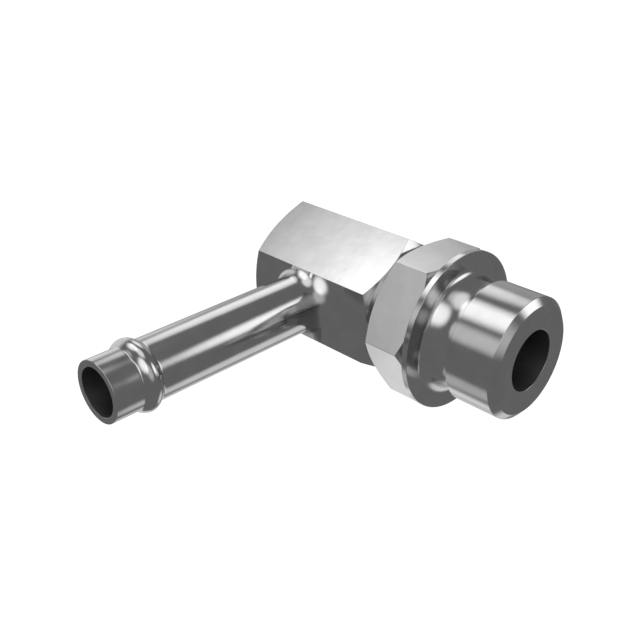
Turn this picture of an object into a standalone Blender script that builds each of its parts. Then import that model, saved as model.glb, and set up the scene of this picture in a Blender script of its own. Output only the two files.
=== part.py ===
"""Hose elbow adapter: a beaded hose tube at a right angle to a stud, on a block that swivels.

World frame, metres, +Z up. The stud's axis is X, with its threaded end towards +X, and the hose
tube leaves the block along -Y. The origin is on the stud's axis, in the plane of the flange's
seating face, which is where the fitting stops when it is screwed home.
"""
import math

import bmesh
import bpy
from mathutils import Matrix

MM = 0.001
INCH = 25.4 * MM

# Swivel stud: spigot, undercut neck, sealing flange and wrench hexagon with flats up and down
SPIGOT_RADIUS = 3 / 8 * INCH
SPIGOT_LENGTH = 12.74 * MM
SPIGOT_CHAMFER_LENGTH = 0.84 * MM
SPIGOT_CHAMFER_DEPTH = 1.05 * MM
SPIGOT_REAR_CHAMFER = 0.5 * MM
NECK_RADIUS = 8.47 * MM
NECK_LENGTH = 4.6 * MM
NECK_FILLET = 0.6 * MM
FLANGE_RADIUS = 0.5 * INCH
FLANGE_THICKNESS = 0.95 * MM
FLANGE_ROOT_GAP = 0.1 * MM
STUD_ACROSS_FLATS = 7 / 8 * INCH
STUD_HEX_WIDTH = 5.75 * MM
STUD_HEX_FRONT_CUT = 0.14 * MM
STUD_HEX_REAR_FACE_RADIUS = 10.6 * MM
STUD_BORE_RADIUS = 4.8 * MM
STUD_BORE_DEPTH = 19.5 * MM

# Shank of the stud, inside the block's socket
SHANK_RADIUS = 6.75 * MM
SHANK_BORE_RADIUS = 3.9 * MM
SHANK_END_CHAMFER = 0.5 * MM
ORING_SECTION = 1.78 * MM
ORING_GROOVE_WIDTH = 2.4 * MM
ORING_GROOVE_DEPTH = 1.4 * MM
ORING_END_LAND = 1.1 * MM
WIRE_DIAMETER = 1.2 * MM
WIRE_SETBACK = 2.1 * MM
WIRE_GROOVE_WIDTH = 1.7 * MM
WIRE_GAP_ANGLE = math.radians(24)

# Elbow block: hexagon bar along X, with a corner up and a flat towards the hose tube
BLOCK_ACROSS_FLATS = 13 / 16 * INCH
BLOCK_REAR_REACH = 9.87 * MM
BLOCK_FRONT_FACE_RADIUS = 9.75 * MM
BLOCK_REAR_FACE_RADIUS = 9.85 * MM
SOCKET_DEPTH = 8.2 * MM
SOCKET_MOUTH_CHAMFER = 0.4 * MM
PORT_WALL = 1.6 * MM
PORT_PASSAGE_END = 0.5 * MM
WATERWAY_RADIUS = 4.5 * MM
WATERWAY_REACH = 5.0 * MM
DRILL_POINT_ANGLE = math.radians(118)

# Hose tube, brazed into the block's flat
TUBE_RADIUS = 3 / 16 * INCH
TUBE_WALL = 1.0 * MM
TUBE_REACH = 48.7 * MM
TUBE_SEAT_DEPTH = 4.1 * MM
BEAD_SETBACK = 6.4 * MM
BEAD_HEIGHT = 0.8 * MM
BEAD_LENGTH = 3.9 * MM
BRAZE_LEG = 0.85 * MM
BRAZE_LIP = 0.1 * MM

# Clearances
SWIVEL_GAP = 0.47 * MM
RUNNING_GAP = 0.2 * MM
BRAZE_GAP = 0.2 * MM
SEATING_GAP = 0.3 * MM
SEAL_GAP = 0.1 * MM

# End chamfer of both hexagons, and how far their turned blank stands over the corners
HEX_CHAMFER = math.radians(30)
HEX_SKIN = 0.3 * MM

# Fineness of the round shapes
ROUND_STEPS = 72
RING_STEPS = 48
ARC_STEPS = 5
BEAD_STEPS = 10
ORING_STEPS = 12
WIRE_STEPS = 48
CUT_MARGIN = 3 * MM
SMOOTH_ANGLE = math.radians(28)


def corner_radius(across_flats):
    return across_flats / math.sqrt(3)


def chamfer_run(radial_depth):
    """Length along the axis of a hexagon's end chamfer over a radial depth."""
    return radial_depth * math.tan(HEX_CHAMFER)


# Stations along X that follow from the sizes above, from the seat back to the block's rear
FLANGE_REAR_X = -FLANGE_THICKNESS
HEX_CONE_FOOT_RADIUS = STUD_ACROSS_FLATS / 2 - STUD_HEX_FRONT_CUT
HEX_FRONT_CONE = corner_radius(STUD_ACROSS_FLATS) - HEX_CONE_FOOT_RADIUS
HEX_FRONT_CORNER_X = FLANGE_REAR_X - FLANGE_ROOT_GAP - chamfer_run(HEX_FRONT_CONE)
HEX_REAR_CORNER_X = HEX_FRONT_CORNER_X - STUD_HEX_WIDTH
HEX_REAR_CONE = corner_radius(STUD_ACROSS_FLATS) - STUD_HEX_REAR_FACE_RADIUS
HEX_REAR_FACE_X = HEX_REAR_CORNER_X - chamfer_run(HEX_REAR_CONE)
BLOCK_FRONT_FACE_X = HEX_REAR_FACE_X - SWIVEL_GAP
SOCKET_BOTTOM_X = BLOCK_FRONT_FACE_X - SOCKET_DEPTH
PORT_RADIUS = TUBE_RADIUS + BRAZE_GAP
TUBE_AXIS_X = SOCKET_BOTTOM_X - PORT_WALL - PORT_RADIUS
SHANK_END_X = SOCKET_BOTTOM_X + SEATING_GAP
ORING_X = SHANK_END_X + ORING_END_LAND + ORING_GROOVE_WIDTH / 2
WIRE_X = BLOCK_FRONT_FACE_X - WIRE_SETBACK
SOCKET_RADIUS = SHANK_RADIUS + RUNNING_GAP
WIRE_GROOVE_DEPTH = WIRE_DIAMETER / 2 + SEAL_GAP

# Local Z of a turned piece laid along the stud's axis, and along the hose tube from the stud's axis
ALONG_STUD = Matrix.Rotation(math.radians(90), 4, "Y")
ALONG_TUBE = Matrix.Translation((TUBE_AXIS_X, 0, 0)) @ Matrix.Rotation(math.radians(90), 4, "X")


def clear_scene():
    for item in list(bpy.data.objects):
        bpy.data.objects.remove(item, do_unlink=True)


def make_collection(name):
    collection = bpy.data.collections.new(name)
    bpy.context.scene.collection.children.link(collection)
    return collection


def make_material(name, colour, roughness, metallic):
    material = bpy.data.materials.new(name)
    material.use_nodes = True
    shader = material.node_tree.nodes["Principled BSDF"]
    shader.inputs["Base Color"].default_value = (*colour, 1.0)
    shader.inputs["Roughness"].default_value = roughness
    shader.inputs["Metallic"].default_value = metallic
    material.diffuse_color = (*colour, 1.0)
    return material


def arc(centre_r, centre_z, radius, start, end, steps=ARC_STEPS):
    """Points of a circular arc in the (r, z) plane, angles in degrees from +r towards +z."""
    points = []
    for step in range(steps + 1):
        angle = math.radians(start + (end - start) * step / steps)
        points.append((centre_r + radius * math.cos(angle), centre_z + radius * math.sin(angle)))
    return points


def turned(name, profile, direction, collection, closed=True, steps=ROUND_STEPS):
    """A body of revolution: (radius, height) points run down the outer side, then up the inner one."""
    mesh = bpy.data.meshes.new(name)
    count = len(profile)
    edges = [(i, i + 1) for i in range(count - 1)]
    if closed:
        edges.append((count - 1, 0))
    mesh.from_pydata([(radius, 0.0, height) for radius, height in profile], edges, [])
    item = bpy.data.objects.new(name, mesh)
    collection.objects.link(item)
    item.matrix_world = direction
    screw = item.modifiers.new("Turn", "SCREW")
    screw.axis = "Z"
    screw.angle = math.tau
    screw.steps = steps
    screw.render_steps = steps
    screw.use_merge_vertices = True
    screw.merge_threshold = 0.00001
    screw.use_smooth_shade = True
    return item


def hexagon_prism(name, across_flats, low_x, high_x, flats_up, collection):
    """A hexagonal bar along X, with flats facing up and down or with corners there."""
    mesh = bpy.data.meshes.new(name)
    builder = bmesh.new()
    bmesh.ops.create_cone(
        builder, cap_ends=True, cap_tris=False, segments=6, radius1=corner_radius(across_flats),
        radius2=corner_radius(across_flats), depth=high_x - low_x)
    builder.to_mesh(mesh)
    builder.free()
    item = bpy.data.objects.new(name, mesh)
    collection.objects.link(item)
    spin = Matrix.Rotation(0.0 if flats_up else math.radians(30), 4, "X")
    item.matrix_world = Matrix.Translation(((low_x + high_x) / 2, 0, 0)) @ spin @ ALONG_STUD
    return item


def hide_cutter(item):
    item.hide_render = True
    item.display_type = "WIRE"


def boolean(item, operation, operand):
    modifier = item.modifiers.new(operation.title() + " " + operand.name, "BOOLEAN")
    modifier.operation = operation
    modifier.solver = "EXACT"
    modifier.object = operand
    hide_cutter(operand)


def finish(item, material, parent):
    """Settle the modifiers into the mesh, shade its round faces smooth and hang it on its parent."""
    bpy.context.view_layer.update()
    evaluated = item.evaluated_get(bpy.context.evaluated_depsgraph_get())
    mesh = bpy.data.meshes.new_from_object(evaluated)
    mesh.name = item.name
    item.modifiers.clear()
    item.data = mesh
    mesh.materials.clear()
    mesh.materials.append(material)
    mesh.shade_smooth()
    mesh.set_sharp_from_angle(angle=SMOOTH_ANGLE)
    item.parent = parent
    return item


def build_block(parts, cutters):
    """Chamfered hexagon bar with a blind socket for the stud and a side port for the tube."""
    bar_radius = corner_radius(BLOCK_ACROSS_FLATS)
    blank_radius = bar_radius + HEX_SKIN
    skin_run = chamfer_run(HEX_SKIN)
    front_corner_x = BLOCK_FRONT_FACE_X - chamfer_run(bar_radius - BLOCK_FRONT_FACE_RADIUS)
    rear_corner_x = TUBE_AXIS_X - BLOCK_REAR_REACH
    rear_face_x = rear_corner_x - chamfer_run(bar_radius - BLOCK_REAR_FACE_RADIUS)
    waterway_bottom_x = TUBE_AXIS_X - WATERWAY_REACH
    drill_point = WATERWAY_RADIUS / math.tan(DRILL_POINT_ANGLE / 2)
    groove_low = WIRE_X - WIRE_GROOVE_WIDTH / 2
    groove_high = WIRE_X + WIRE_GROOVE_WIDTH / 2
    profile = [
        (0, waterway_bottom_x - drill_point),
        (WATERWAY_RADIUS, waterway_bottom_x),
        (WATERWAY_RADIUS, SOCKET_BOTTOM_X),
        (SOCKET_RADIUS, SOCKET_BOTTOM_X),
        (SOCKET_RADIUS, groove_low),
        (SOCKET_RADIUS + WIRE_GROOVE_DEPTH, groove_low),
        (SOCKET_RADIUS + WIRE_GROOVE_DEPTH, groove_high),
        (SOCKET_RADIUS, groove_high),
        (SOCKET_RADIUS, BLOCK_FRONT_FACE_X - SOCKET_MOUTH_CHAMFER),
        (SOCKET_RADIUS + SOCKET_MOUTH_CHAMFER, BLOCK_FRONT_FACE_X),
        (BLOCK_FRONT_FACE_RADIUS, BLOCK_FRONT_FACE_X),
        (blank_radius, front_corner_x - skin_run),
        (blank_radius, rear_corner_x + skin_run),
        (BLOCK_REAR_FACE_RADIUS, rear_face_x),
        (0, rear_face_x),
    ]
    block = turned("elbow_block", profile, ALONG_STUD, parts, closed=False)
    bar = hexagon_prism("block_hexagon", BLOCK_ACROSS_FLATS, rear_face_x - CUT_MARGIN,
                        BLOCK_FRONT_FACE_X + CUT_MARGIN, False, cutters)
    boolean(block, "INTERSECT", bar)
    flat = BLOCK_ACROSS_FLATS / 2
    passage_radius = TUBE_RADIUS - TUBE_WALL
    port = [
        (0, flat + CUT_MARGIN),
        (PORT_RADIUS, flat + CUT_MARGIN),
        (PORT_RADIUS, flat - TUBE_SEAT_DEPTH),
        (passage_radius, flat - TUBE_SEAT_DEPTH),
        (passage_radius, PORT_PASSAGE_END),
        (0, PORT_PASSAGE_END),
    ]
    boolean(block, "DIFFERENCE", turned("tube_port", port, ALONG_TUBE, cutters, closed=False))
    return block


def bead_rise(offset):
    """Height of the rolled bead over the tube's wall, at an offset from its middle along the tube."""
    half = BEAD_LENGTH / 2
    arc_radius = (half ** 2 + BEAD_HEIGHT ** 2) / (2 * BEAD_HEIGHT)
    return math.sqrt(arc_radius ** 2 - offset ** 2) - (arc_radius - BEAD_HEIGHT)


def build_tube(parts):
    """Thin tube with a bead rolled outwards just behind its mouth, hollow behind the bead too."""
    mouth = TUBE_REACH
    root = BLOCK_ACROSS_FLATS / 2 - TUBE_SEAT_DEPTH + SEATING_GAP
    bore_radius = TUBE_RADIUS - TUBE_WALL
    bead_centre = mouth - BEAD_SETBACK
    bead = []
    for step in range(BEAD_STEPS + 1):
        offset = BEAD_LENGTH * (0.5 - step / BEAD_STEPS)
        bead.append((offset, bead_rise(offset)))
    profile = [(TUBE_RADIUS, mouth)]
    profile += [(TUBE_RADIUS + rise, bead_centre + offset) for offset, rise in bead]
    profile += [(TUBE_RADIUS, root), (bore_radius, root)]
    profile += [(bore_radius + rise, bead_centre + offset) for offset, rise in reversed(bead)]
    profile.append((bore_radius, mouth))
    return turned("hose_tube", profile, ALONG_TUBE, parts)


def build_braze(parts):
    """Concave ring of braze metal in the corner between the tube and the block's flat."""
    inner = PORT_RADIUS
    foot = BLOCK_ACROSS_FLATS / 2 + BRAZE_GAP
    reach = BRAZE_LEG + BRAZE_LIP
    profile = arc(inner + reach, foot + reach, BRAZE_LEG, 180, 270)
    profile += [(inner + reach, foot), (inner, foot), (inner, foot + reach)]
    return turned("braze_fillet", profile, ALONG_TUBE, parts)


def build_stud(parts, cutters):
    """One turned piece: spigot, undercut neck, sealing flange, wrench hexagon and grooved shank."""
    blank_radius = corner_radius(STUD_ACROSS_FLATS) + HEX_SKIN
    skin_run = chamfer_run(HEX_SKIN)
    seal_low = ORING_X - ORING_GROOVE_WIDTH / 2
    seal_high = ORING_X + ORING_GROOVE_WIDTH / 2
    wire_low = WIRE_X - WIRE_GROOVE_WIDTH / 2
    wire_high = WIRE_X + WIRE_GROOVE_WIDTH / 2
    bore_step_x = SPIGOT_LENGTH - STUD_BORE_DEPTH
    profile = [
        (STUD_BORE_RADIUS, SPIGOT_LENGTH),
        (SPIGOT_RADIUS - SPIGOT_CHAMFER_DEPTH, SPIGOT_LENGTH),
        (SPIGOT_RADIUS, SPIGOT_LENGTH - SPIGOT_CHAMFER_LENGTH),
        (SPIGOT_RADIUS, NECK_LENGTH),
        (NECK_RADIUS, NECK_LENGTH - SPIGOT_REAR_CHAMFER),
    ]
    profile += arc(NECK_RADIUS + NECK_FILLET, NECK_FILLET, NECK_FILLET, 180, 270)
    profile += [
        (FLANGE_RADIUS, 0),
        (FLANGE_RADIUS, FLANGE_REAR_X),
        (HEX_CONE_FOOT_RADIUS, FLANGE_REAR_X),
        (HEX_CONE_FOOT_RADIUS, FLANGE_REAR_X - FLANGE_ROOT_GAP),
        (blank_radius, HEX_FRONT_CORNER_X - skin_run),
        (blank_radius, HEX_REAR_CORNER_X + skin_run),
        (STUD_HEX_REAR_FACE_RADIUS, HEX_REAR_FACE_X),
        (SHANK_RADIUS, HEX_REAR_FACE_X),
        (SHANK_RADIUS, wire_high),
        (SHANK_RADIUS - WIRE_GROOVE_DEPTH, wire_high),
        (SHANK_RADIUS - WIRE_GROOVE_DEPTH, wire_low),
        (SHANK_RADIUS, wire_low),
        (SHANK_RADIUS, seal_high),
        (SHANK_RADIUS - ORING_GROOVE_DEPTH, seal_high),
        (SHANK_RADIUS - ORING_GROOVE_DEPTH, seal_low),
        (SHANK_RADIUS, seal_low),
        (SHANK_RADIUS, SHANK_END_X + SHANK_END_CHAMFER),
        (SHANK_RADIUS - SHANK_END_CHAMFER, SHANK_END_X),
        (SHANK_BORE_RADIUS, SHANK_END_X),
        (SHANK_BORE_RADIUS, bore_step_x),
        (STUD_BORE_RADIUS, bore_step_x + STUD_BORE_RADIUS - SHANK_BORE_RADIUS),
    ]
    stud = turned("swivel_stud", profile, ALONG_STUD, parts)
    collar_low = HEX_REAR_FACE_X - CUT_MARGIN
    collar_high = FLANGE_REAR_X - FLANGE_ROOT_GAP / 2
    collar = turned("hexagon_collar", [
        (blank_radius + CUT_MARGIN, collar_high),
        (blank_radius + CUT_MARGIN, collar_low),
        (SOCKET_RADIUS, collar_low),
        (SOCKET_RADIUS, collar_high),
    ], ALONG_STUD, cutters)
    bar = hexagon_prism("stud_hexagon", STUD_ACROSS_FLATS, collar_low - CUT_MARGIN,
                        collar_high + CUT_MARGIN, True, cutters)
    boolean(collar, "DIFFERENCE", bar)
    boolean(stud, "DIFFERENCE", collar)
    return stud


def build_oring(parts):
    """Shank seal, drawn as squeezed between the groove's floor and the socket's wall."""
    floor = SHANK_RADIUS - ORING_GROOVE_DEPTH + SEAL_GAP
    ceiling = SOCKET_RADIUS - SEAL_GAP
    half_height = (ceiling - floor) / 2
    half_width = ORING_SECTION ** 2 / 4 / half_height
    profile = []
    for step in range(ORING_STEPS):
        angle = -math.tau * step / ORING_STEPS
        radius = floor + half_height * (1 + math.cos(angle))
        profile.append((radius, ORING_X + half_width * math.sin(angle)))
    return turned("shank_oring", profile, ALONG_STUD, parts, steps=RING_STEPS)


def build_wire(parts):
    """Split ring of spring wire that sits half in the shank's groove and half in the socket's."""
    centre_radius = (SHANK_RADIUS + SOCKET_RADIUS) / 2
    curve = bpy.data.curves.new("retaining_wire", "CURVE")
    curve.dimensions = "3D"
    curve.bevel_depth = WIRE_DIAMETER / 2
    curve.bevel_resolution = 2
    curve.use_fill_caps = True
    spline = curve.splines.new("POLY")
    spline.points.add(WIRE_STEPS)
    for index, point in enumerate(spline.points):
        angle = WIRE_GAP_ANGLE / 2 + (math.tau - WIRE_GAP_ANGLE) * index / WIRE_STEPS
        point.co = (WIRE_X, centre_radius * math.cos(angle), centre_radius * math.sin(angle), 1.0)
    guide = bpy.data.objects.new("wire_route", curve)
    parts.objects.link(guide)
    bpy.context.view_layer.update()
    mesh = bpy.data.meshes.new_from_object(guide.evaluated_get(bpy.context.evaluated_depsgraph_get()))
    bpy.data.objects.remove(guide, do_unlink=True)
    welder = bmesh.new()
    welder.from_mesh(mesh)
    bmesh.ops.remove_doubles(welder, verts=welder.verts, dist=0.00001)
    bmesh.ops.recalc_face_normals(welder, faces=welder.faces)
    welder.to_mesh(mesh)
    welder.free()
    wire = bpy.data.objects.new("retaining_wire", mesh)
    parts.objects.link(wire)
    return wire


def make_pivot(name, parts, parent=None):
    pivot = bpy.data.objects.new(name, None)
    pivot.empty_display_size = FLANGE_RADIUS
    parts.objects.link(pivot)
    pivot.parent = parent
    return pivot


def main():
    clear_scene()
    parts = make_collection("hose_elbow_adapter")
    cutters = make_collection("cutters")
    zinc = make_material("zinc_plated_steel", (0.66, 0.66, 0.67), 0.32, 1.0)
    braze = make_material("plated_braze_metal", (0.60, 0.60, 0.60), 0.42, 1.0)
    spring_steel = make_material("spring_steel", (0.42, 0.42, 0.44), 0.35, 1.0)
    nitrile = make_material("black_nitrile_rubber", (0.02, 0.02, 0.02), 0.55, 0.0)
    stud_frame = make_pivot("stud_frame", parts)
    swivel_pivot = make_pivot("swivel_pivot", parts, stud_frame)
    finish(build_stud(parts, cutters), zinc, stud_frame)
    finish(build_oring(parts), nitrile, stud_frame)
    finish(build_block(parts, cutters), zinc, swivel_pivot)
    finish(build_tube(parts), zinc, swivel_pivot)
    finish(build_braze(parts), braze, swivel_pivot)
    finish(build_wire(parts), spring_steel, swivel_pivot)


main()
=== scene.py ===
"""Hose elbow adapter in bright zinc-plated steel, in a dim studio tent with soft windows."""
import math

import bmesh
import bpy
import numpy as np
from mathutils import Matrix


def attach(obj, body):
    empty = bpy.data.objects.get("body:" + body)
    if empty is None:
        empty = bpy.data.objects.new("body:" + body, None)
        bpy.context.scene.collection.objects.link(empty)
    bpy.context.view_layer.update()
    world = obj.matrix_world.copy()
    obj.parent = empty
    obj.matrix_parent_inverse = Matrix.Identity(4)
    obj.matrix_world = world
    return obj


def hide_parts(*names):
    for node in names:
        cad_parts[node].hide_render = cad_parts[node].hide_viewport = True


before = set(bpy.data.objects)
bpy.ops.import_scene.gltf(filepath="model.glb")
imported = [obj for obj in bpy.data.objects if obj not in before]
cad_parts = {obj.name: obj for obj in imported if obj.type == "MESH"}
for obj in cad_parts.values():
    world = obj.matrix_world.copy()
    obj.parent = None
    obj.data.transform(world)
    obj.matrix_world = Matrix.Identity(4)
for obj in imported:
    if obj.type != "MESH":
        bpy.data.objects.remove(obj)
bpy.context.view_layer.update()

MM = 0.001
MICRON = 0.001 * MM
INCH = 25.4 * MM

# Sizes of the fitting, the same as the part's own apart from the bead
SPIGOT_RADIUS = 3 / 8 * INCH
SPIGOT_LENGTH = 12.74 * MM
SPIGOT_CHAMFER_LENGTH = 0.84 * MM
SPIGOT_CHAMFER_DEPTH = 1.05 * MM
SPIGOT_REAR_CHAMFER = 0.5 * MM
NECK_RADIUS = 8.47 * MM
NECK_LENGTH = 4.6 * MM
NECK_FILLET = 0.6 * MM
FLANGE_RADIUS = 0.5 * INCH
FLANGE_THICKNESS = 0.95 * MM
FLANGE_ROOT_GAP = 0.1 * MM
STUD_ACROSS_FLATS = 7 / 8 * INCH
STUD_HEX_WIDTH = 5.75 * MM
STUD_HEX_FRONT_CUT = 0.14 * MM
STUD_HEX_REAR_FACE_RADIUS = 10.6 * MM
STUD_BORE_RADIUS = 4.8 * MM
STUD_BORE_DEPTH = 19.5 * MM
SHANK_RADIUS = 6.75 * MM
SHANK_BORE_RADIUS = 3.9 * MM
SHANK_END_CHAMFER = 0.5 * MM
ORING_GROOVE_WIDTH = 2.4 * MM
ORING_GROOVE_DEPTH = 1.4 * MM
ORING_END_LAND = 1.1 * MM
WIRE_SETBACK = 2.1 * MM
WIRE_GROOVE_WIDTH = 1.7 * MM
WIRE_GROOVE_DEPTH = 0.7 * MM
BLOCK_ACROSS_FLATS = 13 / 16 * INCH
BLOCK_REAR_REACH = 9.87 * MM
BLOCK_FRONT_FACE_RADIUS = 9.75 * MM
BLOCK_REAR_FACE_RADIUS = 9.85 * MM
SOCKET_RADIUS = 6.95 * MM
SOCKET_DEPTH = 8.2 * MM
SOCKET_MOUTH_CHAMFER = 0.4 * MM
PORT_RADIUS = 3 / 16 * INCH + 0.2 * MM
PORT_WALL = 1.6 * MM
PORT_PASSAGE_END = 0.5 * MM
WATERWAY_RADIUS = 4.5 * MM
WATERWAY_REACH = 5.0 * MM
DRILL_POINT_ANGLE = math.radians(118)
TUBE_RADIUS = 3 / 16 * INCH
TUBE_WALL = 1.0 * MM
TUBE_REACH = 48.7 * MM
TUBE_SEAT_DEPTH = 4.1 * MM
BRAZE_LEG = 0.85 * MM
SWIVEL_GAP = 0.47 * MM
SEATING_GAP = 0.3 * MM
HEX_CHAMFER = math.radians(30)

# The bead, drawn shorter and crisper than the solid's
BEAD_SETBACK = 6.2 * MM
BEAD_HEIGHT = 0.82 * MM
BEAD_LENGTH = 3.1 * MM
BEAD_CREASE = 0.07 * MM

# What the tumbled edges look like close up
EDGE_ROUNDING = 0.08 * MM
EDGE_HOLD = 0.015 * MM
EDGE_STEPS = 4
SECTOR_STEPS = 22
SHARP_ANGLE = math.radians(40)

# How far the two inner corners look run together: the lean at the corner itself, then how far it
# reaches up the tube, over the block's flat in front of the tube and behind it, and over the flange
CORNER_LEAN = math.radians(62)
TUBE_MELT = 2.2 * MM
FLAT_MELT_FRONT = 9.0 * MM
FLAT_MELT_REAR = 1.2 * MM
FLANGE_MELT = 1.8 * MM
MELT_TURN = (-0.4, 0.5)


def corner_radius(across_flats):
    return across_flats / math.sqrt(3)


def chamfer_run(radial_depth):
    return radial_depth * math.tan(HEX_CHAMFER)


# Stations along X, worked back from the flange's seat at X = 0
HEX_CONE_FOOT = STUD_ACROSS_FLATS / 2 - STUD_HEX_FRONT_CUT
HEX_FRONT_FOOT_X = -FLANGE_THICKNESS - FLANGE_ROOT_GAP
STUD_CORNER = corner_radius(STUD_ACROSS_FLATS)
HEX_FRONT_CORNER_X = HEX_FRONT_FOOT_X - chamfer_run(STUD_CORNER - HEX_CONE_FOOT)
HEX_REAR_CORNER_X = HEX_FRONT_CORNER_X - STUD_HEX_WIDTH
HEX_REAR_FACE_X = HEX_REAR_CORNER_X - chamfer_run(STUD_CORNER - STUD_HEX_REAR_FACE_RADIUS)
BLOCK_FRONT_FACE_X = HEX_REAR_FACE_X - SWIVEL_GAP
SOCKET_BOTTOM_X = BLOCK_FRONT_FACE_X - SOCKET_DEPTH
TUBE_X = SOCKET_BOTTOM_X - PORT_WALL - PORT_RADIUS
SHANK_END_X = SOCKET_BOTTOM_X + SEATING_GAP
BLOCK_FLAT = BLOCK_ACROSS_FLATS / 2


# Shapes

def hexagon_section(across_flats, flats_up):
    """Points (y, z) round a hexagon with rounded corners.

    Each corner is an arc of EDGE_ROUNDING about a centre on the corner's own ray; a holding point
    stands beside each end of the arc, and even steps along the flat join one corner to the next.
    """
    centre = corner_radius(across_flats) - EDGE_ROUNDING / math.cos(math.radians(30))
    spread = np.radians(np.linspace(-30, 30, EDGE_STEPS + 1))
    start = 0 if flats_up else 30
    rings = []
    for corner in np.radians(start + 60 * np.arange(6)):
        heart = centre * np.array([math.cos(corner), math.sin(corner)])
        bend = np.column_stack([np.cos(corner + spread), np.sin(corner + spread)])
        rings.append(heart + EDGE_ROUNDING * bend)
    points = []
    for ring, following in zip(rings, rings[1:] + rings[:1]):
        first, last = ring[-1], following[0]
        length = np.linalg.norm(last - first)
        hold = EDGE_HOLD / length
        along = np.concatenate([[hold], np.linspace(0, 1, SECTOR_STEPS)[1:-1], [1 - hold]])[:, None]
        points += [ring, first + (last - first) * along]
    return np.concatenate(points)


def circle_section(steps):
    """Unit points (y, z) evenly round a circle."""
    angle = np.arange(steps) * math.tau / steps
    return np.column_stack([np.cos(angle), np.sin(angle)])


def soften(corners, rounding=EDGE_ROUNDING, steps=EDGE_STEPS):
    """Round every inner corner of a profile given as (corner, column, 2).

    The bend is a quadratic curve P(t) = (1-t)^2 A + 2t(1-t) C + t^2 B about the corner C. A and B lie
    rounding * tan(half the turn) back and forth from it, and a holding row stands beyond each.
    """
    rows = [corners[0]]
    for before, corner, after in zip(corners[:-2], corners[1:-1], corners[2:]):
        back, forth = before - corner, after - corner
        back_length = np.linalg.norm(back, axis=-1, keepdims=True)
        forth_length = np.linalg.norm(forth, axis=-1, keepdims=True)
        back, forth = back / back_length, forth / forth_length
        turn = math.pi - np.arccos(np.clip((back * forth).sum(-1, keepdims=True), -1, 1))
        room = 0.4 * np.minimum(back_length, forth_length)
        reach = np.minimum(rounding * np.tan(np.minimum(turn, 2.4) / 2), room)
        hold = np.minimum(EDGE_HOLD, 0.05 * np.minimum(back_length, forth_length))
        rows.append(corner + back * (reach + hold))
        for t in np.linspace(0, 1, steps + 1):
            rows.append(corner + back * reach * (1 - t) ** 2 + forth * reach * t ** 2)
        rows.append(corner + forth * (reach + hold))
    rows.append(corners[-1])
    return np.array(rows)


def columns(radius, along, count):
    """One row of a profile, (radius, along) repeated or broadcast over all the columns."""
    return np.stack(np.broadcast_arrays(radius, along, np.zeros(count))[:2], axis=-1)


def profile_rows(points, count):
    return np.array([columns(radius, along, count) for radius, along in points])


def about_x(rows, section):
    """Carry profile rows of (radius, x) round X: the point is (x, radius * dy, radius * dz)."""
    direction = section / np.linalg.norm(section, axis=1, keepdims=True)
    return np.stack([rows[..., 1], rows[..., 0] * direction[:, 0], rows[..., 0] * direction[:, 1]], axis=-1)


def about_tube(rows, section):
    """Carry profile rows of (radius, reach) round the tube's axis, which leaves X along -Y."""
    direction = section / np.linalg.norm(section, axis=1, keepdims=True)
    return np.stack([TUBE_X + rows[..., 0] * direction[:, 0], -rows[..., 1], rows[..., 0] * direction[:, 1]],
                    axis=-1)


def skin(name, points, ring=False):
    """A mesh over a grid of points that closes round its columns, and as a ring along its rows too."""
    count, width = points.shape[:2]
    index = np.arange(count * width).reshape(count, width)
    following = np.roll(index, -1, axis=0) if ring else index[1:]
    lower = index if ring else index[:-1]
    quads = np.stack([lower, np.roll(lower, -1, axis=1), np.roll(following, -1, axis=1), following], axis=-1)
    mesh = bpy.data.meshes.new(name)
    mesh.from_pydata(points.reshape(-1, 3).tolist(), [], quads.reshape(-1, 4).tolist())
    item = bpy.data.objects.new(name, mesh)
    bpy.context.scene.collection.objects.link(item)
    close_poles(mesh)
    mesh.shade_smooth()
    return item


def close_poles(mesh):
    welder = bmesh.new()
    welder.from_mesh(mesh)
    bmesh.ops.remove_doubles(welder, verts=welder.verts, dist=1e-8)
    bmesh.ops.recalc_face_normals(welder, faces=welder.faces)
    welder.to_mesh(mesh)
    welder.free()


def cut(item, cutter):
    """Take the cutter's body out of the item's, and settle the result into its mesh."""
    modifier = item.modifiers.new("Cut", "BOOLEAN")
    modifier.operation = "DIFFERENCE"
    modifier.solver = "EXACT"
    modifier.object = cutter
    bpy.context.view_layer.update()
    item.data = bpy.data.meshes.new_from_object(item.evaluated_get(bpy.context.evaluated_depsgraph_get()))
    item.modifiers.clear()
    bpy.data.objects.remove(cutter, do_unlink=True)


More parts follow.
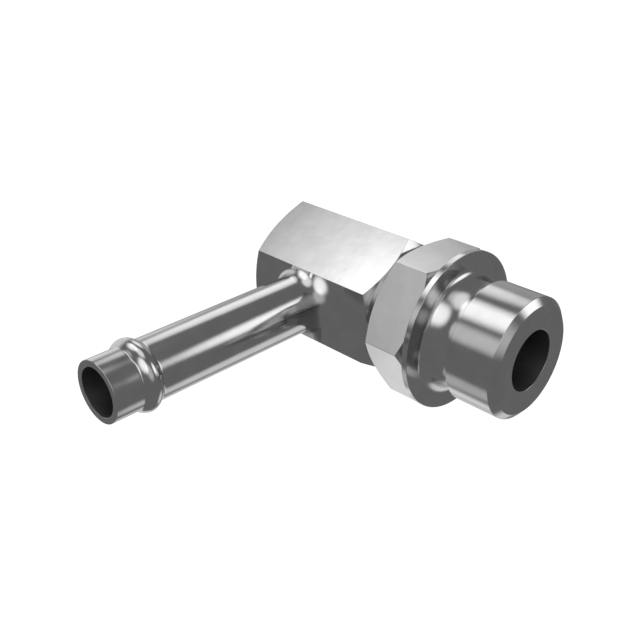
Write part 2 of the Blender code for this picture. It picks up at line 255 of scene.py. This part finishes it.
def lean(item, corner, axis, base, fade, wall_power, face_power):
    """Shade a round wall and the face square to it as one run, by leaning the normals near the corner.

    The corner is (wall radius, outer radius, height). A vertex at distance d out on the face leans
    CORNER_LEAN * (1 - d / fade)^face_power from the face's normal, and one at height h up the wall leans
    CORNER_LEAN + (90 degrees - CORNER_LEAN) * (h / height)^wall_power. In the fillet both hold as one sum.
    """
    mesh = item.data
    place = np.empty(len(mesh.vertices) * 3, np.float32)
    normal = np.empty(len(mesh.vertices) * 3, np.float32)
    mesh.vertices.foreach_get("co", place)
    mesh.vertices.foreach_get("normal", normal)
    place, normal = place.reshape(-1, 3) - np.array(base), normal.reshape(-1, 3)
    wall_radius, outer_radius, top = corner
    axis = np.array(axis)
    height = place @ axis
    outward = place - height[:, None] * axis
    radius = np.linalg.norm(outward, axis=1)
    outward = outward / np.maximum(radius, 1e-9)[:, None]
    on_face = np.clip((radius - wall_radius) / fade(outward), 0, 1)
    on_wall = np.clip(height / top, 0, 1)
    tilt = CORNER_LEAN * (1 - on_face) ** face_power + (math.pi / 2 - CORNER_LEAN) * on_wall ** wall_power
    inside = ((radius > wall_radius - 0.03 * MM) & (radius < outer_radius)
              & (height > -0.01 * MM) & (height < top))
    leaned = np.sin(tilt)[:, None] * outward + np.cos(tilt)[:, None] * axis
    normal[inside] = leaned[inside]
    mesh.normals_split_custom_set_from_vertices(normal.tolist())


def flat_fade(outward):
    """How far the lean reaches over the block's flat, long towards the stud and short behind the tube."""
    return FLAT_MELT_REAR + (FLAT_MELT_FRONT - FLAT_MELT_REAR) * smooth_step(outward[:, 0], *MELT_TURN)


def lean_from_tube(item):
    """The soft corner where the tube leaves the block, which fades out at once behind the tube."""
    corner = (TUBE_RADIUS, TUBE_RADIUS + BRAZE_LEG + 0.1 * MM, TUBE_MELT)
    lean(item, corner, (0, -1, 0), (TUBE_X, -BLOCK_FLAT, 0), flat_fade, 1.0, 1.0)


def smooth_step(value, low, high):
    t = np.clip((value - low) / (high - low), 0, 1)
    return t * t * (3 - 2 * t)


def mark_faces(item, name, chosen):
    """Write 1 on the faces that a test of their middles and normals picks, and 0 on the rest."""
    mesh = item.data
    middle = np.empty(len(mesh.polygons) * 3)
    normal = np.empty(len(mesh.polygons) * 3)
    mesh.polygons.foreach_get("center", middle)
    mesh.polygons.foreach_get("normal", normal)
    picked = chosen(middle.reshape(-1, 3), normal.reshape(-1, 3)).astype(np.float32)
    mesh.attributes.new(name, "FLOAT", "FACE").data.foreach_set("value", picked)


def dress(item, material, body, node):
    """Give the piece its finish, ride it on its body and hide the CAD node that it stands for."""
    item.data.materials.clear()
    item.data.materials.append(material)
    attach(item, body)
    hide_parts(node)


def swivel_stud():
    """Spigot, neck, flange, hexagon and shank, one closed profile carried round X.

    Where the hexagon is, each column ends its 30 degree chamfer on the hexagon's own radius r there:
    x = foot - (r - foot radius) * tan 30, so the chamfer meets each flat in an arc.
    """
    section = hexagon_section(STUD_ACROSS_FLATS, True)
    count = len(section)
    hexagon = np.linalg.norm(section, axis=1)
    wire_x = BLOCK_FRONT_FACE_X - WIRE_SETBACK
    seal_x = SHANK_END_X + ORING_END_LAND + ORING_GROOVE_WIDTH / 2
    bore_step_x = SPIGOT_LENGTH - STUD_BORE_DEPTH
    neck = [
        (NECK_RADIUS, NECK_LENGTH - SPIGOT_REAR_CHAMFER),
        (NECK_RADIUS, 0),
        (FLANGE_RADIUS, 0),
    ]
    neck_top = NECK_LENGTH - 1.3 * SPIGOT_REAR_CHAMFER
    face_rim = FLANGE_RADIUS - 2 * EDGE_ROUNDING
    past_fillet = NECK_FILLET * 1.1
    up_the_neck = [(NECK_RADIUS, along) for along in np.linspace(neck_top, past_fillet, 12)]
    over_the_face = [(radius, 0) for radius in np.linspace(NECK_RADIUS + past_fillet, face_rim, 12)]
    front = profile_rows([
        (STUD_BORE_RADIUS, SPIGOT_LENGTH - 2 * MM),
        (STUD_BORE_RADIUS, SPIGOT_LENGTH),
        (SPIGOT_RADIUS - SPIGOT_CHAMFER_DEPTH, SPIGOT_LENGTH),
        (SPIGOT_RADIUS, SPIGOT_LENGTH - SPIGOT_CHAMFER_LENGTH),
        (SPIGOT_RADIUS, NECK_LENGTH),
        neck[0],
        (NECK_RADIUS, neck_top),
    ], count)
    fillet = soften(profile_rows(neck, count), NECK_FILLET, 10)[1:-1]
    rear = np.concatenate([
        profile_rows([
            (face_rim, 0),
            (FLANGE_RADIUS, 0),
            (FLANGE_RADIUS, -FLANGE_THICKNESS),
            (HEX_CONE_FOOT, -FLANGE_THICKNESS),
            (HEX_CONE_FOOT, HEX_FRONT_FOOT_X),
        ], count),
        [columns(hexagon, HEX_FRONT_FOOT_X - chamfer_run(hexagon - HEX_CONE_FOOT), count)],
        [columns(hexagon, HEX_REAR_FACE_X + chamfer_run(hexagon - STUD_HEX_REAR_FACE_RADIUS), count)],
        profile_rows([
            (STUD_HEX_REAR_FACE_RADIUS, HEX_REAR_FACE_X),
            (SHANK_RADIUS, HEX_REAR_FACE_X),
            (SHANK_RADIUS, wire_x + WIRE_GROOVE_WIDTH / 2),
            (SHANK_RADIUS - WIRE_GROOVE_DEPTH, wire_x + WIRE_GROOVE_WIDTH / 2),
            (SHANK_RADIUS - WIRE_GROOVE_DEPTH, wire_x - WIRE_GROOVE_WIDTH / 2),
            (SHANK_RADIUS, wire_x - WIRE_GROOVE_WIDTH / 2),
            (SHANK_RADIUS, seal_x + ORING_GROOVE_WIDTH / 2),
            (SHANK_RADIUS - ORING_GROOVE_DEPTH, seal_x + ORING_GROOVE_WIDTH / 2),
            (SHANK_RADIUS - ORING_GROOVE_DEPTH, seal_x - ORING_GROOVE_WIDTH / 2),
            (SHANK_RADIUS, seal_x - ORING_GROOVE_WIDTH / 2),
            (SHANK_RADIUS, SHANK_END_X + SHANK_END_CHAMFER),
            (SHANK_RADIUS - SHANK_END_CHAMFER, SHANK_END_X),
            (SHANK_BORE_RADIUS, SHANK_END_X),
            (SHANK_BORE_RADIUS, bore_step_x),
            (STUD_BORE_RADIUS, bore_step_x + STUD_BORE_RADIUS - SHANK_BORE_RADIUS),
            (STUD_BORE_RADIUS, bore_step_x + 3 * MM),
        ], count),
    ])
    rows = np.concatenate([soften(front), profile_rows(up_the_neck[1:], count), fillet,
                           profile_rows(over_the_face[:-1], count), soften(rear)])
    stud = skin("zinc_swivel_stud", about_x(rows, section), ring=True)
    corner = (NECK_RADIUS, FLANGE_RADIUS - EDGE_ROUNDING, NECK_LENGTH - 1.2 * SPIGOT_REAR_CHAMFER)
    lean(stud, corner, (1, 0, 0), (0, 0, 0), lambda outward: FLANGE_MELT, 2.0, 1.0)
    return stud


def elbow_block():
    """Hexagon bar with its socket, waterway and drill point, one profile from axis to axis round X."""
    section = hexagon_section(BLOCK_ACROSS_FLATS, False)
    count = len(section)
    hexagon = np.linalg.norm(section, axis=1)
    wire_x = BLOCK_FRONT_FACE_X - WIRE_SETBACK
    bottom_x = TUBE_X - WATERWAY_REACH
    rear_corner_x = TUBE_X - BLOCK_REAR_REACH
    rear_depth = corner_radius(BLOCK_ACROSS_FLATS) - BLOCK_REAR_FACE_RADIUS
    rear_face_x = rear_corner_x - chamfer_run(rear_depth)
    corners = np.concatenate([
        profile_rows([
            (0, bottom_x - WATERWAY_RADIUS / math.tan(DRILL_POINT_ANGLE / 2)),
            (WATERWAY_RADIUS, bottom_x),
            (WATERWAY_RADIUS, SOCKET_BOTTOM_X),
            (SOCKET_RADIUS, SOCKET_BOTTOM_X),
            (SOCKET_RADIUS, wire_x - WIRE_GROOVE_WIDTH / 2),
            (SOCKET_RADIUS + WIRE_GROOVE_DEPTH, wire_x - WIRE_GROOVE_WIDTH / 2),
            (SOCKET_RADIUS + WIRE_GROOVE_DEPTH, wire_x + WIRE_GROOVE_WIDTH / 2),
            (SOCKET_RADIUS, wire_x + WIRE_GROOVE_WIDTH / 2),
            (SOCKET_RADIUS, BLOCK_FRONT_FACE_X - SOCKET_MOUTH_CHAMFER),
            (SOCKET_RADIUS + SOCKET_MOUTH_CHAMFER, BLOCK_FRONT_FACE_X),
            (BLOCK_FRONT_FACE_RADIUS, BLOCK_FRONT_FACE_X),
        ], count),
        [columns(hexagon, BLOCK_FRONT_FACE_X - chamfer_run(hexagon - BLOCK_FRONT_FACE_RADIUS), count)],
        [columns(hexagon, rear_face_x + chamfer_run(hexagon - BLOCK_REAR_FACE_RADIUS), count)],
        profile_rows([(BLOCK_REAR_FACE_RADIUS, rear_face_x), (0, rear_face_x)], count),
    ])
    block = skin("zinc_elbow_block", about_x(soften(corners), section))
    passage = TUBE_RADIUS - TUBE_WALL
    port = profile_rows([
        (0, BLOCK_FLAT + MM),
        (PORT_RADIUS, BLOCK_FLAT + MM),
        (PORT_RADIUS, BLOCK_FLAT - TUBE_SEAT_DEPTH),
        (passage, BLOCK_FLAT - TUBE_SEAT_DEPTH),
        (passage, PORT_PASSAGE_END),
        (0, PORT_PASSAGE_END),
    ], 96)
    cut(block, skin("port_drill", about_tube(port, circle_section(96))))
    block.data.set_sharp_from_angle(angle=SHARP_ANGLE)
    mark_faces(block, "tube_flat", lambda middle, normal: (middle[:, 1] < -BLOCK_FLAT + 0.02 * MM)
               & (normal[:, 1] < -0.9))
    return block


def bead_rise(along):
    """The bead's parabola H (1 - (2s/L)^2) and the plain wall, joined by a smooth maximum."""
    arch = BEAD_HEIGHT * (1 - (2 * along / BEAD_LENGTH) ** 2)
    return (arch + np.sqrt(arch ** 2 + BEAD_CREASE ** 2)) / 2


def hose_tube():
    """Tube wall as one closed profile round its axis, with the bead rolled out of both its faces."""
    count = 160
    bore = TUBE_RADIUS - TUBE_WALL
    root = BLOCK_FLAT - TUBE_SEAT_DEPTH + SEATING_GAP
    span = np.linspace(0.9, -0.9, 100) * BEAD_LENGTH
    bead_at = TUBE_REACH - BEAD_SETBACK
    outer_bead = np.array([columns(TUBE_RADIUS + bead_rise(s), bead_at + s, count) for s in span])
    inner_bead = np.array([columns(bore + bead_rise(s), bead_at + s, count) for s in span[::-1]])
    mouth = soften(profile_rows([
        (bore, TUBE_REACH - MM),
        (bore, TUBE_REACH),
        (TUBE_RADIUS, TUBE_REACH),
        (TUBE_RADIUS, TUBE_REACH - MM),
    ], count))
    seat = soften(profile_rows([
        (TUBE_RADIUS, root + 2 * MM), (TUBE_RADIUS, root), (bore, root), (bore, root + 2 * MM),
    ], count))
    turning = profile_rows([(TUBE_RADIUS, BLOCK_FLAT + t * TUBE_MELT) for t in np.linspace(1, 0, 16)], count)
    rows = np.concatenate([mouth, outer_bead, turning, seat, inner_bead])
    tube = skin("zinc_hose_tube", about_tube(rows, circle_section(count)), ring=True)
    lean_from_tube(tube)
    return tube


def braze_ring():
    """Concave ring in the corner of tube and flat: a quarter arc, closed through the corner."""
    count = 128
    angle = np.radians(np.linspace(180, 270, 9))
    heart = (TUBE_RADIUS + BRAZE_LEG, BLOCK_FLAT + BRAZE_LEG)
    sink = 0.02 * MM
    curve = [(heart[0] + BRAZE_LEG * math.cos(a), heart[1] + BRAZE_LEG * math.sin(a)) for a in angle]
    foot = [(TUBE_RADIUS + BRAZE_LEG, BLOCK_FLAT - sink), (TUBE_RADIUS - sink, BLOCK_FLAT - sink),
            (TUBE_RADIUS - sink, BLOCK_FLAT + BRAZE_LEG)]
    rows = profile_rows(curve + foot, count)
    ring = skin("plated_braze_ring", about_tube(rows, circle_section(count)), ring=True)
    lean_from_tube(ring)
    return ring


# Finishes

class Value:
    """One number of a shader. Python's operators on it add the Math nodes that work it out."""

    def __init__(self, finish, socket):
        self.finish = finish
        self.socket = socket

    def math(self, operation, *operands):
        sockets = dict(enumerate(operands))
        return self.finish.node("ShaderNodeMath", {"operation": operation}, sockets)

    def __add__(self, other):
        return self.math("ADD", self, other)

    def __sub__(self, other):
        return self.math("SUBTRACT", self, other)

    def __rsub__(self, other):
        return self.math("SUBTRACT", other, self)

    def __mul__(self, other):
        return self.math("MULTIPLY", self, other)

    def __truediv__(self, other):
        return self.math("DIVIDE", self, other)

    def __lt__(self, other):
        return self.math("LESS_THAN", self, other)

    def __gt__(self, other):
        return self.math("GREATER_THAN", self, other)

    def root(self):
        return self.math("SQRT", self)

    def clamped(self):
        return self.finish.node("ShaderNodeClamp", {}, {"Value": self})

    __radd__ = __add__
    __rmul__ = __mul__


class Finish:
    """A material, or the world, and the one method that adds any node to it."""

    def __init__(self, tree):
        self.tree = tree
        self.tree.nodes.clear()

    def node(self, kind, settings, sockets, output=0):
        """Add a node, set its settings, then fill or link its sockets; returns one of its outputs."""
        made = self.tree.nodes.new(kind)
        for name, setting in settings.items():
            setattr(made, name, setting)
        for name, value in sockets.items():
            if isinstance(value, Value):
                self.tree.links.new(value.socket, made.inputs[name])
            else:
                made.inputs[name].default_value = value
        return Value(self, made.outputs[output]) if made.outputs else None

    def place(self):
        return self.node("ShaderNodeTexCoord", {}, {}, "Object")

    def axes(self):
        spot = self.place()
        return [self.node("ShaderNodeSeparateXYZ", {}, {"Vector": spot}, axis) for axis in "XYZ"]

    def point(self, x, y, z):
        return self.node("ShaderNodeCombineXYZ", {}, {"X": x, "Y": y, "Z": z})

    def noise(self, spot, size, detail=2.0):
        """Soft noise from 0 to 1 with blobs about this size across, in metres."""
        return self.node("ShaderNodeTexNoise", {}, {"Vector": spot, "Scale": 1 / size, "Detail": detail,
                                                    "Roughness": 0.5})

    def blend(self, amount, first, second):
        """A colour that goes from the first to the second as the amount goes from 0 to 1."""
        return self.node("ShaderNodeMix", {"data_type": "RGBA"},
                         {"Factor": amount, 6: (*first, 1) if isinstance(first, tuple) else first,
                          7: (*second, 1) if isinstance(second, tuple) else second}, 2)

    def ramp(self, value, low, high):
        """0 below low, 1 above high and a smooth step between."""
        return self.node("ShaderNodeMapRange", {"interpolation_type": "SMOOTHSTEP"},
                         {"Value": value, "From Min": low, "From Max": high})

    def metal(self, colour, roughness, height, metallic=1.0):
        """Close the material: a Principled shader whose bump takes its height in metres."""
        bump = {"Height": height, "Distance": 1.0, "Strength": 1.0}
        normal = self.node("ShaderNodeBump", {}, bump, "Normal")
        shader = self.node("ShaderNodeBsdfPrincipled", {}, {"Base Color": colour, "Roughness": roughness,
                                                            "Metallic": metallic, "Normal": normal})
        self.node("ShaderNodeOutputMaterial", {}, {"Surface": shader})


def new_finish(name):
    material = bpy.data.materials.new(name)
    material.use_nodes = True
    return material, Finish(material.node_tree)


def melt(finish, away, fade):
    """Height that leans a flat's normal by CORNER_LEAN * (1 - d / fade) = u at distance d from a corner.

    Its slope is -tan(u), so the height is -(fade / CORNER_LEAN) * ln(cos(u)).
    """
    left = (1 - (away / fade).clamped()) * CORNER_LEAN
    cosine = finish.node("ShaderNodeMath", {"operation": "COSINE"}, {0: left})
    logarithm = finish.node("ShaderNodeMath", {"operation": "LOGARITHM"}, {0: cosine, 1: math.e})
    return logarithm * fade * (-1 / CORNER_LEAN)


def zinc(name, axis_name):
    """Bright zinc over steel: cloudy plating, faint tool marks, and in the bores a rougher finish with
    painted shade that darkens them to a dull grey.
    """
    material, finish = new_finish(name)
    x, y, z = finish.axes()
    spot = finish.place()
    clouds = finish.noise(spot, 3.2 * MM, 2.0)
    wisps = finish.noise(spot, 1.3 * MM, 3.0)
    peel = finish.noise(spot, 0.35 * MM, 2.0)
    height = clouds * (9 * MICRON) + wisps * (3.5 * MICRON) + peel * (0.08 * MICRON)
    if axis_name == "stud":
        radius = (y * y + z * z).root()
        rings = finish.noise(finish.point(x, radius, 0.0), 0.16 * MM, 3.0)
        turned = 1 - (x < HEX_FRONT_FOOT_X) * (radius > SHANK_RADIUS + MM)
        height = height + rings * turned * (0.25 * MICRON)
        bore_rough_and_painted_shade = radius < STUD_BORE_RADIUS + 0.01 * MM
    else:
        across = x - TUBE_X
        radius = (across * across + z * z).root()
        fade = finish.ramp(across / radius, *MELT_TURN) * (FLAT_MELT_FRONT - FLAT_MELT_REAR) + FLAT_MELT_REAR
        flat = finish.node("ShaderNodeAttribute", {"attribute_name": "tube_flat"}, {}, "Fac")
        height = height + melt(finish, radius - TUBE_RADIUS, fade) * flat
        bore_rough_and_painted_shade = (radius < TUBE_RADIUS - TUBE_WALL + 0.01 * MM) * (y < 0.0)
    roughness = clouds * 0.04 + peel * 0.03 + 0.10 + bore_rough_and_painted_shade * 0.35
    bright = finish.blend(finish.ramp(clouds, 0.3, 0.75), (0.66, 0.66, 0.665), (0.71, 0.71, 0.715))
    # Painted shade: the bores' colour is darkened to a dull grey where their own shadow falls, and their
    # roughness rises.
    colour = finish.blend(bore_rough_and_painted_shade, bright, (0.26, 0.26, 0.265))
    finish.metal(colour, roughness, height)
    return material


def rubber(name):
    """Black moulded rubber with a fine matt grain."""
    material, finish = new_finish(name)
    grain = finish.noise(finish.place(), 0.12 * MM, 3.0)
    colour = finish.blend(grain, (0.012, 0.012, 0.012), (0.03, 0.03, 0.03))
    finish.metal(colour, grain * 0.2 + 0.45, grain * (2 * MICRON), metallic=0.0)
    return material


def spring_wire(name):
    """Grey drawn wire with fine lines round its ring."""
    material, finish = new_finish(name)
    x, y, z = finish.axes()
    lines = finish.noise(finish.point(x, (y * y + z * z).root(), 0.0), 0.08 * MM, 3.0)
    colour = finish.blend(lines, (0.34, 0.34, 0.36), (0.48, 0.48, 0.50))
    finish.metal(colour, lines * 0.2 + 0.25, lines * (1 * MICRON))
    return material


# The fitting

block_zinc = zinc("zinc_on_elbow", "tube")
stud_zinc = zinc("zinc_on_stud", "stud")
dress(swivel_stud(), stud_zinc, "stud", "swivel_stud")
dress(elbow_block(), block_zinc, "elbow", "elbow_block")
dress(hose_tube(), block_zinc, "elbow", "hose_tube")
dress(braze_ring(), block_zinc, "elbow", "braze_fillet")
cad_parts["shank_oring"].material_slots[0].material = rubber("black_rubber_seal")
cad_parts["retaining_wire"].material_slots[0].material = spring_wire("drawn_spring_wire")


# The studio

TENT_RADIUS = 0.45
TENT_CENTRE = (-0.012, -0.018, 0.0)
TENT_GREY = 0.16
FLOOR_DEPTH = 0.5
FLOOR_SIZE = 14
FLOOR_GLOW = 0.45
WORLD_LEVEL = 0.8

# The view: 45 degrees to the stud's side and 28 degrees above it, fairly close
VIEW_AIM = (-17.6 * MM, -12.6 * MM, 0)
VIEW_DISTANCE = 138.9 * MM
VIEW_AZIMUTH = -45.2
VIEW_ELEVATION = 28.2

# The lighting plan, one soft window for each highlight or gradient that the fitting should carry:
# azimuth and elevation it shines from, full out to, faded away by (degrees), brightness
WINDOWS = {
    "over_spigot": (-163, 60, 2, 24, 1.2),
    "over_block": (-175, 56, 1, 6, 0.6),
    "rear_left_high": (135, 37, 3, 20, 0.9),
    "rear_left_wide": (135, 10, 15, 35, 0.25),
    "rear_right": (46, 22, 5, 20, 1.3),
    "front_left": (-120, 28, 2, 20, 0.5),
    "front_right_high": (-50, 42, 10, 28, 1.1),
    "right": (-15, 25, 10, 30, 0.4),
    "below_left": (150, -45, 15, 35, 0.45),
    "below_stud": (165, -62, 1, 10, 0.3),
    "below_front": (-145, -54, 3, 16, 0.35),
    "below_right": (70, -53, 5, 20, 0.6),
    "overhead": (0, 90, 10, 25, 0.8),
    "behind": (180, 5, 15, 35, 0.6),
}


def direction_of(azimuth, elevation):
    az, el = math.radians(azimuth), math.radians(elevation)
    return (math.cos(el) * math.cos(az), math.cos(el) * math.sin(az), math.sin(el))


def tent():
    """A grey ball round the fitting that only polished metal sees, with soft windows glowing in it.

    Each window's strength is a smooth step of the cosine between its own direction and the spot's.
    """
    bpy.ops.mesh.primitive_uv_sphere_add(segments=64, ring_count=32, radius=TENT_RADIUS, location=TENT_CENTRE)
    ball = bpy.context.object
    ball.name = "studio_tent"
    material, finish = new_finish("tent_cloth")
    heading = finish.node("ShaderNodeVectorMath", {"operation": "NORMALIZE"}, {0: finish.place()})
    glow = finish.node("ShaderNodeValue", {}, {})
    glow.socket.default_value = TENT_GREY
    for azimuth, elevation, full, faded, brightness in WINDOWS.values():
        cosine = finish.node("ShaderNodeVectorMath", {"operation": "DOT_PRODUCT"},
                             {0: heading, 1: direction_of(azimuth, elevation)}, "Value")
        outer, inner = math.cos(math.radians(faded)), math.cos(math.radians(full))
        glow = glow + finish.ramp(cosine, outer, inner) * brightness
    light = finish.node("ShaderNodeEmission", {}, {"Color": (1, 1, 1, 1), "Strength": glow})
    finish.node("ShaderNodeOutputMaterial", {}, {"Surface": light})
    ball.data.materials.append(material)
    for kind in ("camera", "diffuse", "transmission", "volume_scatter", "shadow"):
        setattr(ball, "visible_" + kind, False)


def floor():
    """White floor far below, which clips to white for the eye and in the metal but keeps its shadow."""
    bpy.ops.mesh.primitive_plane_add(size=FLOOR_SIZE, location=(0, 0, -FLOOR_DEPTH))
    ground = bpy.context.object
    ground.name = "studio_floor"
    material, finish = new_finish("white_floor")
    seen = seen_rays(finish)
    paint = finish.node("ShaderNodeBsdfDiffuse", {}, {"Color": (0.8, 0.8, 0.8, 1)})
    glow = finish.node("ShaderNodeEmission", {}, {"Color": (1, 1, 1, 1), "Strength": seen * FLOOR_GLOW})
    both = finish.node("ShaderNodeAddShader", {}, {0: paint, 1: glow})
    finish.node("ShaderNodeOutputMaterial", {}, {"Surface": both})
    ground.data.materials.append(material)


def seen_rays(finish):
    """1 for the rays that look: from the camera, off a gloss or through a glass."""
    looks = [finish.node("ShaderNodeLightPath", {}, {}, kind)
             for kind in ("Is Camera Ray", "Is Glossy Ray", "Is Transmission Ray")]
    return (looks[0] + looks[1] + looks[2]).clamped()


def studio_world():
    world = bpy.data.worlds.new("white_studio")
    bpy.context.scene.world = world
    world.use_nodes = True
    finish = Finish(world.node_tree)
    strength = seen_rays(finish) * (1 - WORLD_LEVEL) + WORLD_LEVEL
    light = finish.node("ShaderNodeBackground", {}, {"Color": (1, 1, 1, 1), "Strength": strength})
    finish.node("ShaderNodeOutputWorld", {}, {"Surface": light})


def camera():
    """A camera that looks at VIEW_AIM from VIEW_DISTANCE away, level from side to side."""
    lens = bpy.data.cameras.new("camera")
    lens.lens = 50
    lens.sensor_width = 36
    lens.clip_start = 0.005
    eye = bpy.data.objects.new("camera", lens)
    bpy.context.scene.collection.objects.link(eye)
    eye.location = np.array(VIEW_AIM) + VIEW_DISTANCE * np.array(direction_of(VIEW_AZIMUTH, VIEW_ELEVATION))
    eye.rotation_euler = (math.radians(90 - VIEW_ELEVATION), 0, math.radians(90 + VIEW_AZIMUTH))
    bpy.context.scene.camera = eye


tent()
floor()
studio_world()
camera()
bpy.context.scene.view_settings.view_transform = "Standard"
